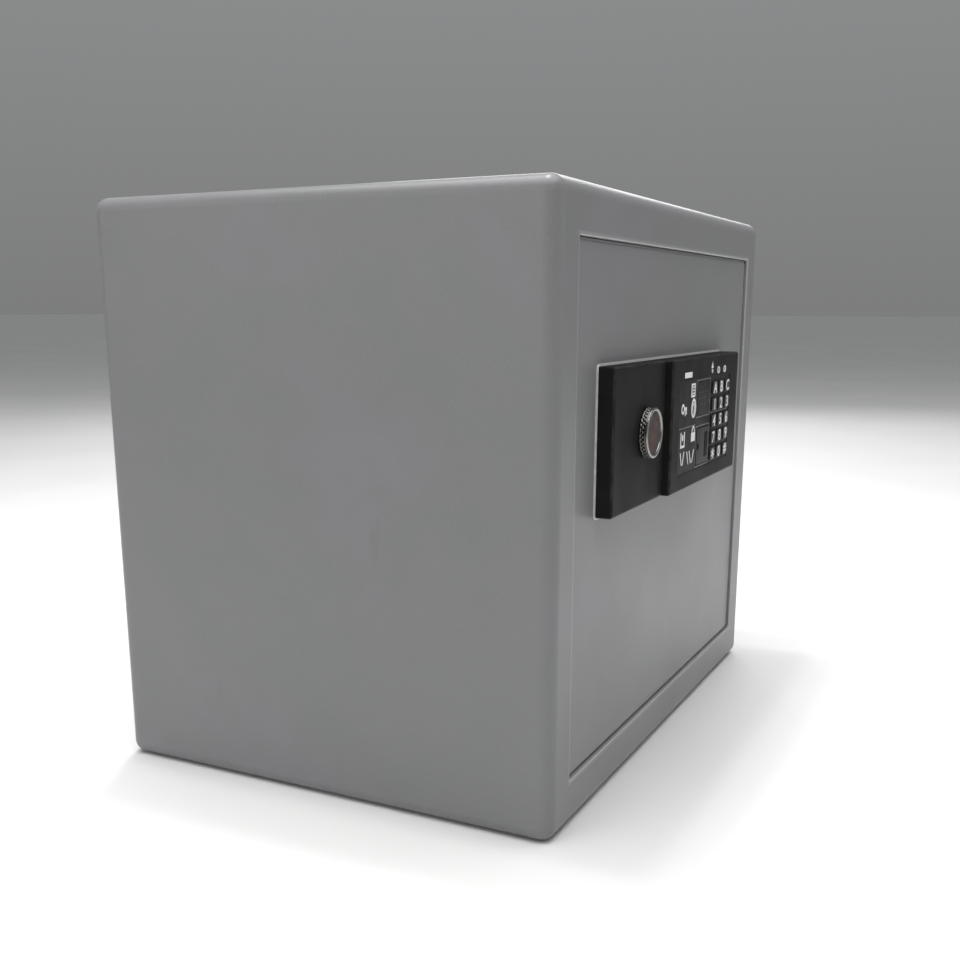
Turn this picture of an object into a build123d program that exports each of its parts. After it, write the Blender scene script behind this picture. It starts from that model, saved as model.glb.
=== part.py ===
"""In-room safe: rounded steel cabinet, inset door with sliding bolts, stepped lock case with knob and keypad.

Units are millimetres. +Z is up, the door faces -Y and +X is to the right as the door is faced.
The origin is the centre of the flat base. The door is shut, its bolts are drawn in and every button is out.
"""

from build123d import *
import math
import os

# ---- Cabinet -------------------------------------------------------------------------------------
WIDTH, DEPTH, HEIGHT = 404.0, 301.0, 350.0
EDGE_R = 8.3                       # outer rounding of every cabinet edge
SHELL_T = 2.5                      # cabinet sheet
SHEET_T = 2.0                      # frame, shelf and lock cover sheet
MARGIN = 28.0                      # front face left round the door opening
Y_FRONT, Y_BACK = -DEPTH / 2, DEPTH / 2
OPEN_X, OPEN_Z0, OPEN_Z1 = WIDTH / 2 - MARGIN, MARGIN, HEIGHT - MARGIN

# ---- Anchor holes, in the base and in the back ---------------------------------------------------
ANCHOR_R = 5.5
ANCHOR_X = 130.0                   # half spacing across
ANCHOR_Y = 70.0                    # half spacing along the base
ANCHOR_Z = 80.0                    # half spacing up the back
MAT_HOLE_R = 9.0

# ---- Door ----------------------------------------------------------------------------------------
DOOR_GAP = 0.4
STEP_W, STEP_D = 1.6, 0.8          # step round the door's front edge, which shows as a shallow groove
SEAM_R = 1.2                       # rounding of the opening's edge
DOOR_RECESS = 2.0
DOOR_T = 3.0
DOOR_X = OPEN_X - DOOR_GAP
DOOR_Z0, DOOR_Z1 = OPEN_Z0 + DOOR_GAP, OPEN_Z1 - DOOR_GAP
Y_DOOR = Y_FRONT + DOOR_RECESS     # outer face of the door
Y_SKIN = Y_DOOR + DOOR_T           # inner face of the door plate

# ---- Hinge ---------------------------------------------------------------------------------------
HINGE_X = DOOR_X - 12.0
HINGE_Y = Y_DOOR + 7.0
PIN_R = 3.5
PIN_FIT = 0.05                     # running clearance of the door on its pins
BRACKET_H = 12.0
BLOCK_H = 14.0

# ---- Stop frame behind the opening ---------------------------------------------------------------
FLANGE_W = 18.0
LIP_W = 9.0
Y_FLANGE = Y_FRONT + SHELL_T       # the frame's flange lies on the back of the cabinet front
Y_LIP = Y_SKIN + 0.3
SWING_R = math.hypot(DOOR_X - HINGE_X, HINGE_Y - Y_DOOR)   # swept by the door's hinge edge
JAMB_X = HINGE_X + SWING_R + 2.6
JAMB_D = 22.0
LIP_END_X = HINGE_X - 15.0

# ---- Lock chassis on the back of the door --------------------------------------------------------
CH_X0, CH_X1, CH_Z0, CH_Z1 = -163.0, 148.0, 44.0, 306.0
CH_D = 36.0
Y_BASE = Y_SKIN + SHEET_T          # inner face of the chassis base
Y_COVER = Y_SKIN + CH_D            # the lock cover lies on the chassis rim here
Y_INNER = Y_COVER + SHEET_T        # inner face of the lock cover
COVER_SCREWS = [(x, z) for x in (CH_X0 + 9, (CH_X0 + CH_X1) / 2, CH_X1 - 9) for z in (CH_Z0 + 9, CH_Z1 - 9)]
TAB = 7.0                          # half size of the chassis tabs that take the cover screws

# ---- Lock case on the front of the door ----------------------------------------------------------
CASE_X0, STEP_X, CASE_X1 = -141.0, -50.4, 106.0
CASE_Z0, CASE_Z1 = 172.0, 255.5
GASKET_T, GASKET_RIM = 0.8, 1.2
Y_CASE = Y_DOOR - GASKET_T         # back of both housings
Y_KNOB_FACE = Y_DOOR - 10.5
Y_PAD_FACE = Y_DOOR - 15.3
CASE_WALL = 2.2
CASE_R, CASE_FRONT_R = 1.6, 1.8
SCREW_R, SCREW_HOLE_R, BOSS_R = 1.9, 2.0, 4.0
SCREW_HEAD_R, SCREW_HEAD_H = 3.6, 2.0
KNOB_CASE_SCREWS = [(x, z) for x in (CASE_X0 + 7, STEP_X - 7) for z in (188.0, 243.0)]
PAD_CASE_SCREWS = [(x, z) for x in (STEP_X + 7, CASE_X1 - 7) for z in (178.5, 249.0)]
CASE_SCREWS = KNOB_CASE_SCREWS + PAD_CASE_SCREWS

# ---- Keypad --------------------------------------------------------------------------------------
KEY_XS = [43.5, 59.5, 75.5]
KEY_ZS = [233.6 - 11.25 * row for row in range(5)]
KEY_W, KEY_H = 10.8, 8.6
KEY_PROUD, KEY_TRAVEL = 1.3, 1.0
KEY_FIT = 0.25
FASCIA_X0, FASCIA_X1, FASCIA_Z0, FASCIA_Z1 = -36.0, 84.0, 182.3, 241.3
FASCIA_T, FASCIA_DROP = 0.8, 0.4   # the fascia's face lies this far below the housing's
Y_FASCIA = Y_PAD_FACE + FASCIA_DROP
Y_FASCIA_BACK = Y_FASCIA + FASCIA_T
WINDOW = (4.0, 33.0, 217.5, 239.2)          # x0, x1, z0, z1
EMERGENCY = (5.0, 34.0, 184.3, 209.3)
APERTURE = (KEY_XS[0] - 7.0, KEY_XS[2] + 7.0, KEY_ZS[4] - 5.6, KEY_ZS[0] + 5.6)
LIGHTS = [(x - 7.0, 245.0) for x in KEY_XS]
LIGHT_R = 1.5
BOARD = (-38.0, 92.0, 177.0, 243.0)
Y_KEY_TIP = Y_FASCIA_BACK + 1.4
Y_MEMBRANE, MEMBRANE_T = Y_KEY_TIP + KEY_TRAVEL + 0.2, 0.8
Y_BOARD, BOARD_T = Y_PAD_FACE + 5.0, 1.6

# ---- Knob, cam and bolts -------------------------------------------------------------------------
KNOB_X, KNOB_Z, KNOB_R = -85.0, 215.0, 15.0
KNOB_H, KNOB_SINK = 5.1, 1.5
Y_KNOB = Y_KNOB_FACE - 0.3         # back of the knob
SPINDLE_R, SPINDLE_FIT = 4.0, 0.05
THROW = 20.0                       # bolt travel for a quarter turn of the knob
CRANK = THROW / math.sqrt(2)       # cam pin circle
CAM_PIN_R, CAM_SLOT_R = 2.5, 3.1
Y_CAM, CAM_T = Y_BASE + 12.5, 3.0
BOLT_R, BOLT_ZS = 8.0, [85.0, 175.0, 265.0]
BOLT_X0 = CH_X0 - 1.0
BOLT_Y = Y_SKIN + 12.0
CARRIER_X, CARRIER_T = -107.0, 3.0
CARRIER_Z0, CARRIER_Z1 = 68.0, 282.0
PLATE_X1, PLATE_Z0, PLATE_Z1 = -38.0, 190.0, 243.0
Y_PLATE = Y_CAM + CAM_T + 1.5

# ---- Solenoid and emergency lock -----------------------------------------------------------------
SOL_X, SOL_Z0, SOL_Z1 = -66.0, 150.0, 182.0
SOL_W, SOL_D = 22.0, 20.0
PLUNGER_R, PLUNGER_TRAVEL = 3.0, 6.0
LOCK_X, LOCK_Z = 19.5, 196.8
BARREL_R, PLUG_R = 9.0, 6.0
Y_BARREL = Y_FASCIA_BACK + 1.6
Y_BARREL_END = Y_BASE + 9.0

# ---- Batteries -----------------------------------------------------------------------------------
CELL_R, CELL_L, CELL_PITCH = 7.2, 50.5, 15.2
BAT_X, BAT_Z = 90.0, 100.0
HOLDER_W, HOLDER_H, HOLDER_T = 62.0, 66.0, 2.0
Y_HOLDER0, Y_HOLDER1 = Y_COVER - 20.0, Y_COVER - 1.0
HATCH_W, HATCH_H = 74.0, 76.0
RESET_X, RESET_Z, RESET_R = 122.0, 215.0, 4.0

# ---- Inside the cabinet --------------------------------------------------------------------------
SHELF_Z, SHELF_Y0, SHELF_LIP = 175.0, -65.0, 15.0
PEG_R, PEG_L = 4.0, 14.0
MAT_T = 3.0
CABLE_W, CABLE_T, CABLE_BEND = 9.0, 0.8, 5.0
CABLE_X, CABLE_Z = 86.0, 186.0


def block(x0, x1, y0, y1, z0, z1):
    """A box between two corners."""
    return Pos((x0 + x1) / 2, (y0 + y1) / 2, (z0 + z1) / 2) * Box(x1 - x0, y1 - y0, z1 - z0)


def rod_x(y, z, r, x0, x1):
    return Pos((x0 + x1) / 2, y, z) * Rot(0, 90, 0) * Cylinder(r, x1 - x0)


def rod_y(x, z, r, y0, y1):
    return Pos(x, (y0 + y1) / 2, z) * Rot(90, 0, 0) * Cylinder(r, y1 - y0)


def rod_z(x, y, r, z0, z1):
    return Pos(x, y, (z0 + z1) / 2) * Cylinder(r, z1 - z0)


def rounded(x0, x1, y0, y1, z0, z1, r):
    """A box whose four edges along Y are rounded."""
    b = block(x0, x1, y0, y1, z0, z1)
    return fillet(b.edges().filter_by(Axis.Y), r)


def soften(shape, y, r):
    """Rounds the edges that lie wholly in the plane at y."""
    edges = shape.edges().filter_by_position(Axis.Y, y - 0.001, y + 0.001)
    return fillet(edges, r)


def mirror_z(shape):
    """The same piece at the other end of the hinge line."""
    return Pos(0, 0, HEIGHT) * mirror(shape, Plane.XY)


# ---- Cabinet -------------------------------------------------------------------------------------
def body_shell():
    outer = block(-WIDTH / 2, WIDTH / 2, Y_FRONT, Y_BACK, 0, HEIGHT)
    outer = fillet(outer.edges(), EDGE_R)
    t = SHELL_T
    inner = block(-WIDTH / 2 + t, WIDTH / 2 - t, Y_FRONT + t, Y_BACK - t, t, HEIGHT - t)
    inner = fillet(inner.edges(), EDGE_R - t)
    shell = outer - inner
    shell -= rounded(-OPEN_X, OPEN_X, Y_FRONT - 1, Y_FLANGE + 1, OPEN_Z0, OPEN_Z1, 1.5)
    rim = [
        e for e in shell.edges().filter_by_position(Axis.Y, Y_FRONT - 0.001, Y_FRONT + 0.001)
        if abs(e.center().X) < OPEN_X + 1 and OPEN_Z0 - 1 < e.center().Z < OPEN_Z1 + 1
    ]
    shell = fillet(rim, SEAM_R)
    for x in (-ANCHOR_X, ANCHOR_X):
        for y in (-ANCHOR_Y, ANCHOR_Y):
            shell -= rod_z(x, y, ANCHOR_R, -1, t + 1)
        for z in (HEIGHT / 2 - ANCHOR_Z, HEIGHT / 2 + ANCHOR_Z):
            shell -= rod_y(x, z, ANCHOR_R, Y_BACK - t - 1, Y_BACK + 1)
    return shell


def frame_side(x_end):
    """Top run of the stop frame: flange on the cabinet front, short web and stop lip."""
    z = OPEN_Z1
    flange = block(-OPEN_X - FLANGE_W, JAMB_X + FLANGE_W - 4, Y_FLANGE, Y_FLANGE + SHEET_T, z, z + FLANGE_W)
    web = block(-OPEN_X - SHEET_T, x_end, Y_FLANGE, Y_LIP + SHEET_T, z, z + SHEET_T)
    lip = block(-OPEN_X - SHEET_T, x_end, Y_LIP, Y_LIP + SHEET_T, z + SHEET_T - LIP_W, z + SHEET_T)
    return flange + web + lip


def door_frame():
    top = frame_side(LIP_END_X)
    bottom = mirror_z(top)
    z0, z1 = OPEN_Z0 - FLANGE_W, OPEN_Z1 + FLANGE_W
    web_x, web_z0, web_z1 = -OPEN_X - SHEET_T, OPEN_Z0 - SHEET_T, OPEN_Z1 + SHEET_T
    left = block(-OPEN_X - FLANGE_W, -OPEN_X, Y_FLANGE, Y_FLANGE + SHEET_T, z0, z1)
    left += block(web_x, -OPEN_X, Y_FLANGE, Y_LIP + SHEET_T, web_z0, web_z1)
    left += block(web_x, web_x + LIP_W, Y_LIP, Y_LIP + SHEET_T, web_z0, web_z1)
    right = block(JAMB_X, JAMB_X + FLANGE_W - 4, Y_FLANGE, Y_FLANGE + SHEET_T, z0, z1)
    right += block(JAMB_X, JAMB_X + SHEET_T, Y_FLANGE, Y_FLANGE + JAMB_D, z0, z1)
    return top + bottom + left + right


def hinge_bracket():
    z0 = OPEN_Z1
    y0 = Y_FLANGE + SHEET_T
    b = block(HINGE_X - 11, HINGE_X + 11, y0, HINGE_Y + 9, z0, z0 + BRACKET_H)
    back = b.edges().filter_by(Axis.Z).sort_by(Axis.Y)[-2:]
    b = fillet(back, 3.0)
    return b - rod_z(HINGE_X, HINGE_Y, PIN_R, z0 - 1, z0 + BRACKET_H + 1)


def hinge_pin():
    pin = rod_z(HINGE_X, HINGE_Y, PIN_R, DOOR_Z1 - BLOCK_H + 1, OPEN_Z1 + BRACKET_H)
    collar = rod_z(HINGE_X, HINGE_Y, PIN_R + 1.0, DOOR_Z1 + 0.1, OPEN_Z1)
    return pin + collar


def hinge_block():
    z1 = DOOR_Z1
    b = block(HINGE_X - 14, HINGE_X + 7.5, Y_SKIN, HINGE_Y + 8, z1 - BLOCK_H, z1)
    back = b.edges().filter_by(Axis.Z).sort_by(Axis.Y)[-2:]
    b = fillet(back, 3.0)
    return b - rod_z(HINGE_X, HINGE_Y, PIN_R + PIN_FIT, z1 - BLOCK_H - 1, z1 + 1)


def shelf():
    x = WIDTH / 2 - SHELL_T - 0.5
    y1 = Y_BACK - SHELL_T - 0.5
    plate = block(-x, x, SHELF_Y0, y1, SHELF_Z, SHELF_Z + SHEET_T)
    lip = block(-x + 6, x - 6, SHELF_Y0, SHELF_Y0 + SHEET_T, SHELF_Z - SHELF_LIP, SHELF_Z + SHEET_T)
    plate = fillet(plate.edges().filter_by(Axis.Z).sort_by(Axis.Y)[-2:], EDGE_R - SHELL_T)
    s = plate + lip
    front = s.edges().filter_by(Axis.X).group_by(Axis.Z)[-1].sort_by(Axis.Y)[0]
    return fillet(front, 1.8)


def shelf_pegs():
    x1 = WIDTH / 2 - SHELL_T
    pegs = []
    for y in (SHELF_Y0 + 30, Y_BACK - 45):
        peg = rod_x(y, SHELF_Z - PEG_R, PEG_R, x1 - PEG_L, x1)
        peg = fillet(peg.edges().sort_by(Axis.X)[0], 1.0)
        pegs += [peg, mirror(peg, Plane.YZ)]
    return pegs


def floor_mat():
    x = WIDTH / 2 - EDGE_R - 0.5
    mat = block(-x, x, Y_FRONT + EDGE_R + 0.5, Y_BACK - EDGE_R - 0.5, SHELL_T, SHELL_T + MAT_T)
    mat = fillet(mat.edges().filter_by(Axis.Z), 4.0)
    for x in (-ANCHOR_X, ANCHOR_X):
        for y in (-ANCHOR_Y, ANCHOR_Y):
            mat -= rod_z(x, y, MAT_HOLE_R, 0, SHELL_T + MAT_T + 1)
    return mat


# ---- Door ----------------------------------------------------------------------------------------
def door_holes(y0, y1):
    """Everything that passes through the door plate and the chassis base behind it."""
    cut = rod_y(KNOB_X, KNOB_Z, SPINDLE_R + 2.0, y0, y1)
    cut += rod_y(LOCK_X, LOCK_Z, BARREL_R + 0.3, y0, y1)
    w, h = CABLE_W / 2 + 1.5, CABLE_T / 2 + 1.5
    cut += rounded(CABLE_X - w, CABLE_X + w, y0, y1, CABLE_Z - h, CABLE_Z + h, 1.5)
    for x, z in CASE_SCREWS:
        cut += rod_y(x, z, SCREW_HOLE_R, y0, y1)
    return cut


def door_panel():
    """The door plate, its front edge stepped back all round."""
    panel = rounded(-DOOR_X, DOOR_X, Y_DOOR + STEP_D, Y_SKIN, DOOR_Z0, DOOR_Z1, 1.5)
    panel = soften(panel, Y_DOOR + STEP_D, 0.4)
    x, z0, z1 = DOOR_X - STEP_W, DOOR_Z0 + STEP_W, DOOR_Z1 - STEP_W
    panel += soften(rounded(-x, x, Y_DOOR, Y_SKIN, z0, z1, 1.5), Y_DOOR, 0.6)
    return panel - door_holes(Y_DOOR - 1, Y_SKIN + 1)


def lock_chassis():
    tray = rounded(CH_X0, CH_X1, Y_SKIN, Y_COVER, CH_Z0, CH_Z1, 4.0)
    t = SHEET_T
    tray -= rounded(CH_X0 + t, CH_X1 - t, Y_BASE, Y_COVER + 1, CH_Z0 + t, CH_Z1 - t, 2.0)
    for x, z in COVER_SCREWS:
        x0, x1 = max(x - TAB, CH_X0 + 0.5), min(x + TAB, CH_X1 - 0.5)
        z0, z1 = (CH_Z0 + 0.5, z + TAB) if z < HEIGHT / 2 else (z - TAB, CH_Z1 - 0.5)
        tray += rounded(x0, x1, Y_COVER - t, Y_COVER, z0, z1, 1.5) & rounded(
            CH_X0, CH_X1, Y_SKIN, Y_COVER, CH_Z0, CH_Z1, 4.0
        )
        tray -= rod_y(x, z, SCREW_HOLE_R, Y_COVER - t - 1, Y_COVER + 1)
    for z in BOLT_ZS:
        tray -= rod_x(BOLT_Y, z, BOLT_R + 0.15, CH_X0 - 1, CH_X0 + t + 1)
    return tray - door_holes(Y_SKIN - 1, Y_BASE + 1)


def lock_cover():
    cover = rounded(CH_X0, CH_X1, Y_COVER, Y_INNER, CH_Z0, CH_Z1, 4.0)
    cover = soften(cover, Y_INNER, 1.2)
    w, h = HATCH_W / 2 - 4, HATCH_H / 2 - 4
    cover -= rounded(BAT_X - w, BAT_X + w, Y_COVER - 1, Y_INNER + 1, BAT_Z - h, BAT_Z + h, 2.5)
    cover -= rod_y(RESET_X, RESET_Z, RESET_R + 0.3, Y_COVER - 1, Y_INNER + 1)
    for x, z in COVER_SCREWS:
        cover -= rod_y(x, z, SCREW_HOLE_R, Y_COVER - 1, Y_INNER + 1)
    return cover


def screw(x, z, y_seat, y_tip):
    """A pan head screw with a cross recess, its head on the plane y_seat and its tip towards the door."""
    y_top = y_seat + SCREW_HEAD_H
    head = soften(rod_y(x, z, SCREW_HEAD_R, y_seat, y_top), y_top, SCREW_HEAD_H * 0.45)
    long, narrow = SCREW_HEAD_R * 0.55, 0.4
    for w, h in ((long, narrow), (narrow, long)):
        head -= block(x - w, x + w, y_seat + SCREW_HEAD_H / 2, y_top + 1, z - h, z + h)
    return head + rod_y(x, z, SCREW_R, y_tip, y_seat)


def cover_screws():
    return [screw(x, z, Y_INNER, Y_COVER - 6) for x, z in COVER_SCREWS]


def case_screws():
    return [screw(x, z, Y_BASE, Y_CASE - 6) for x, z in CASE_SCREWS]


# ---- Lock case -----------------------------------------------------------------------------------
def case_shell(x0, x1, y_face):
    """An open-backed moulded case with rounded front edges."""
    case = rounded(x0, x1, y_face, Y_CASE, CASE_Z0, CASE_Z1, CASE_R)
    case = soften(case, y_face, CASE_FRONT_R)
    w = CASE_WALL
    return case - block(x0 + w, x1 - w, y_face + w, Y_CASE + 1, CASE_Z0 + w, CASE_Z1 - w)


def bosses(places, y_face):
    """Screw bosses from the case's front wall back to the door."""
    made = []
    for x, z in places:
        boss = rod_y(x, z, BOSS_R, y_face + CASE_WALL - 0.2, Y_CASE)
        made.append(boss - rod_y(x, z, SCREW_HOLE_R, Y_CASE - 7, Y_CASE + 1))
    return made


def knob_housing():
    case = case_shell(CASE_X0, STEP_X, Y_KNOB_FACE)
    for boss in bosses(KNOB_CASE_SCREWS, Y_KNOB_FACE):
        case += boss
    case += rod_y(KNOB_X, KNOB_Z, SPINDLE_R + 4, Y_KNOB_FACE + 0.5, Y_CASE)
    return case - rod_y(KNOB_X, KNOB_Z, SPINDLE_R + 0.3, Y_KNOB_FACE - 1, Y_CASE + 1)


def keypad_housing():
    case = case_shell(STEP_X, CASE_X1, Y_PAD_FACE)
    for boss in bosses(PAD_CASE_SCREWS, Y_PAD_FACE):
        case += boss
    case -= rounded(FASCIA_X0, FASCIA_X1, Y_PAD_FACE - 1, Y_FASCIA_BACK, FASCIA_Z0, FASCIA_Z1, 1.5)
    y1 = Y_PAD_FACE + CASE_WALL + 0.1
    case -= block(APERTURE[0], APERTURE[1], Y_PAD_FACE, y1, APERTURE[2], APERTURE[3])
    case -= block(WINDOW[0] + 1.5, WINDOW[1] - 1.5, Y_PAD_FACE, y1, WINDOW[2] + 1.5, WINDOW[3] - 1.5)
    case -= block(
        EMERGENCY[0] + 0.4, EMERGENCY[1] - 0.4, Y_PAD_FACE, y1, EMERGENCY[2] + 0.4, EMERGENCY[3] - 0.4
    )
    for x, z in LIGHTS:
        case -= rod_y(x, z, LIGHT_R, Y_PAD_FACE - 1, y1)
    return case


def case_gasket():
    r = GASKET_RIM
    pad = rounded(CASE_X0 - r, CASE_X1 + r, Y_CASE, Y_DOOR, CASE_Z0 - r, CASE_Z1 + r, CASE_R + r)
    w = 6.0
    for x0, x1 in ((CASE_X0, STEP_X), (STEP_X, CASE_X1)):
        pad -= block(x0 + w, x1 - w, Y_CASE - 1, Y_DOOR + 1, CASE_Z0 + w, CASE_Z1 - w)
    for x, z in CASE_SCREWS:
        pad -= rod_y(x, z, SCREW_HOLE_R, Y_CASE - 1, Y_DOOR + 1)
    return pad


def keypad_fascia():
    plate = rounded(FASCIA_X0, FASCIA_X1, Y_FASCIA, Y_FASCIA_BACK, FASCIA_Z0, FASCIA_Z1, 1.5)
    for x in KEY_XS:
        for z in KEY_ZS:
            w, h = KEY_W / 2 + KEY_FIT, KEY_H / 2 + KEY_FIT
            plate -= rounded(x - w, x + w, Y_FASCIA - 1, Y_FASCIA_BACK + 1, z - h, z + h, 1.8)
    for x0, x1, z0, z1 in (WINDOW, EMERGENCY):
        plate -= rounded(x0, x1, Y_FASCIA - 1, Y_FASCIA_BACK + 1, z0, z1, 1.2)
    return plate


def display_window():
    x0, x1, z0, z1 = WINDOW
    pane = rounded(x0, x1, Y_FASCIA - 0.2, Y_FASCIA_BACK, z0, z1, 1.2)
    return soften(pane, Y_FASCIA - 0.2, 0.3)


def display_module():
    x0, x1, z0, z1 = WINDOW
    return block(x0 + 1.5, x1 - 1.5, Y_PAD_FACE + CASE_WALL + 0.2, Y_BOARD, z0 + 1.5, z1 - 1.5)


def indicator_light(x, z):
    lens = rod_y(x, z, LIGHT_R, Y_PAD_FACE - 0.4, Y_PAD_FACE + CASE_WALL)
    return fillet(lens.edges().sort_by(Axis.Y)[0], 0.35)


def key_cap(x, z):
    """A key: cap through the fascia, flange behind it and the foot that presses the membrane."""
    y0 = Y_FASCIA - KEY_PROUD
    cap = rounded(x - KEY_W / 2, x + KEY_W / 2, y0, Y_FASCIA_BACK + 0.4, z - KEY_H / 2, z + KEY_H / 2, 1.6)
    cap = soften(cap, y0, 0.6)
    w, h = KEY_W / 2 + 0.7, KEY_H / 2 + 0.7
    cap += rounded(x - w, x + w, Y_FASCIA_BACK + 0.05, Y_FASCIA_BACK + 0.7, z - h, z + h, 2.0)
    return cap + rod_y(x, z, 2.5, Y_FASCIA_BACK + 0.6, Y_KEY_TIP)


def keypad_membrane():
    x0, x1, z0, z1 = APERTURE
    sheet = rounded(x0 - 3, x1 + 3, Y_MEMBRANE, Y_MEMBRANE + MEMBRANE_T, z0 - 2, z1 + 2, 2.0)
    for x in KEY_XS:
        for z in KEY_ZS:
            sheet += rod_y(x, z, 2.2, Y_MEMBRANE + MEMBRANE_T - 0.1, Y_BOARD)
    return sheet


def circuit_board():
    x0, x1, z0, z1 = BOARD
    board = rounded(x0, x1, Y_BOARD, Y_BOARD + BOARD_T, z0, z1, 2.0)
    board -= rod_y(LOCK_X, LOCK_Z, BARREL_R + 0.8, Y_BOARD - 1, Y_BOARD + BOARD_T + 1)
    y_back = Y_BOARD + BOARD_T
    chips = [(-20.0, 225.0, 14.0, 14.0), (-20.0, 196.0, 10.0, 16.0), (60.0, 210.0, 12.0, 7.0)]
    for x, z, w, h in chips:
        board += block(x - w / 2, x + w / 2, y_back, y_back + 1.4, z - h / 2, z + h / 2)
    return board


# ---- Knob and bolt work --------------------------------------------------------------------------
def knob_ring():
    """A low round knob with a sunk face."""
    y0 = Y_KNOB - KNOB_H
    knob = rod_y(KNOB_X, KNOB_Z, KNOB_R, y0, Y_KNOB)
    knob = fillet(knob.edges().sort_by(Axis.Y)[0], 0.9)
    knob -= rod_y(KNOB_X, KNOB_Z, KNOB_R - 2.4, y0 - 1, y0 + KNOB_SINK)
    return knob - rod_y(KNOB_X, KNOB_Z, SPINDLE_R, y0 + KNOB_SINK + 1, Y_KNOB + 1)


def knob_cap():
    y1 = Y_KNOB - KNOB_H + KNOB_SINK
    cap = rod_y(KNOB_X, KNOB_Z, KNOB_R - 2.45, y1 - 0.8, y1)
    return fillet(cap.edges().sort_by(Axis.Y)[0], 0.4)


def knob_spindle():
    return rod_y(KNOB_X, KNOB_Z, SPINDLE_R, Y_KNOB - KNOB_H + KNOB_SINK + 1, Y_CAM + CAM_T + 0.6)


def knob_cam():
    """Crank on the spindle. Its pin stands 45 degrees right of straight up while the bolts are in."""
    px, pz = KNOB_X + CRANK * math.sqrt(0.5), KNOB_Z + CRANK * math.sqrt(0.5)
    middle = Pos((KNOB_X + px) / 2, Y_CAM + CAM_T / 2, (KNOB_Z + pz) / 2)
    arm = middle * Rot(0, -45, 0) * Box(CRANK, CAM_T, 12.0)
    cam = rod_y(KNOB_X, KNOB_Z, 9.0, Y_CAM, Y_CAM + CAM_T) + arm + rod_y(px, pz, 6.0, Y_CAM, Y_CAM + CAM_T)
    cam += rod_y(px, pz, CAM_PIN_R, Y_CAM + CAM_T - 0.5, Y_PLATE + 4.0)
    return cam - rod_y(KNOB_X, KNOB_Z, SPINDLE_R, Y_CAM - 1, Y_CAM + CAM_T + 1)


def spindle_bush():
    """Flanged bush in the door plate and the chassis base."""
    bush = rod_y(KNOB_X, KNOB_Z, SPINDLE_R + 2.0, Y_DOOR, Y_BASE)
    bush += rod_y(KNOB_X, KNOB_Z, SPINDLE_R + 4.5, Y_BASE, Y_BASE + 2.0)
    return bush - rod_y(KNOB_X, KNOB_Z, SPINDLE_R + SPINDLE_FIT, Y_DOOR - 1, Y_BASE + 3)


def bolt_carrier():
    y1 = Y_PLATE + 3.0
    rail = block(CARRIER_X, CARRIER_X + CARRIER_T, Y_BASE + 1.5, y1, CARRIER_Z0, CARRIER_Z1)
    plate = block(CARRIER_X, PLATE_X1, Y_PLATE, y1, PLATE_Z0, PLATE_Z1)
    plate = fillet(plate.edges().filter_by(Axis.Y).sort_by(Axis.X)[-2:], 4.0)
    carrier = rail + plate
    px, pz = KNOB_X + THROW / 2, KNOB_Z + THROW / 2
    top = KNOB_Z + CRANK
    for z in (pz - 0.8, top + 0.8):
        carrier -= rod_y(px, z, CAM_SLOT_R, Y_PLATE - 1, y1 + 1)
    carrier -= block(px - CAM_SLOT_R, px + CAM_SLOT_R, Y_PLATE - 1, y1 + 1, pz - 0.8, top + 0.8)
    notch_z = PLATE_Z0 + PLUNGER_TRAVEL + 1.0
    for x in (SOL_X, SOL_X + THROW):
        carrier -= block(x - 4.0, x + 4.0, Y_PLATE - 1, y1 + 1, PLATE_Z0 - 1, notch_z)
    for z in BOLT_ZS:
        carrier -= rod_x(BOLT_Y, z, 4.0, CARRIER_X - 1, CARRIER_X + CARRIER_T + 1)
    return carrier


def locking_bolt(z):
    bolt = rod_x(BOLT_Y, z, BOLT_R, BOLT_X0, CARRIER_X)
    bolt = chamfer(bolt.edges().sort_by(Axis.X)[0], 1.5)
    return bolt + rod_x(BOLT_Y, z, 4.0, CARRIER_X - 1, CARRIER_X + CARRIER_T + 8.0)


def bolt_nut(z):
    x0 = CARRIER_X + CARRIER_T
    nut = Pos(x0, BOLT_Y, z) * Rot(0, 90, 0) * extrude(RegularPolygon(7.0, 6), 6.0)
    return nut - rod_x(BOLT_Y, z, 4.0, x0 - 1, x0 + 8)


# ---- Solenoid ------------------------------------------------------------------------------------
def solenoid_frame():
    y = Y_PLATE + 1.5
    x0, x1 = SOL_X - SOL_W / 2 - 1.6, SOL_X + SOL_W / 2 + 1.6
    frame = block(x0, x1, y - SOL_D / 2, y + SOL_D / 2, SOL_Z0 - 1.6, SOL_Z1 + 1.6)
    frame -= block(x0 + 1.6, x1 - 1.6, y - SOL_D / 2 - 1, y + SOL_D / 2 + 1, SOL_Z0, SOL_Z1)
    frame += block(x0, x1, Y_BASE, y - SOL_D / 2 + 0.5, SOL_Z0 - 1.6, SOL_Z0)
    frame += block(x0 - 8, x1 + 8, Y_BASE, Y_BASE + 1.6, SOL_Z0 - 1.6, SOL_Z0 + 12)
    return frame - rod_z(SOL_X, y, PLUNGER_R + 0.3, SOL_Z0 + 1, SOL_Z1 + 3)


def solenoid_coil():
    y = Y_PLATE + 1.5
    coil = rod_z(SOL_X, y, 8.0, SOL_Z0, SOL_Z1)
    for z0 in (SOL_Z0, SOL_Z1 - 1.5):
        coil += rod_z(SOL_X, y, 9.5, z0, z0 + 1.5)
    return coil - rod_z(SOL_X, y, PLUNGER_R + 0.2, SOL_Z0 + 6, SOL_Z1 + 1)


def solenoid_plunger():
    y = Y_PLATE + 1.5
    rod = rod_z(SOL_X, y, PLUNGER_R, SOL_Z0 + 6.5, PLATE_Z0 - 1.5)
    return chamfer(rod.edges().sort_by(Axis.Z)[-1], 0.8)


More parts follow.
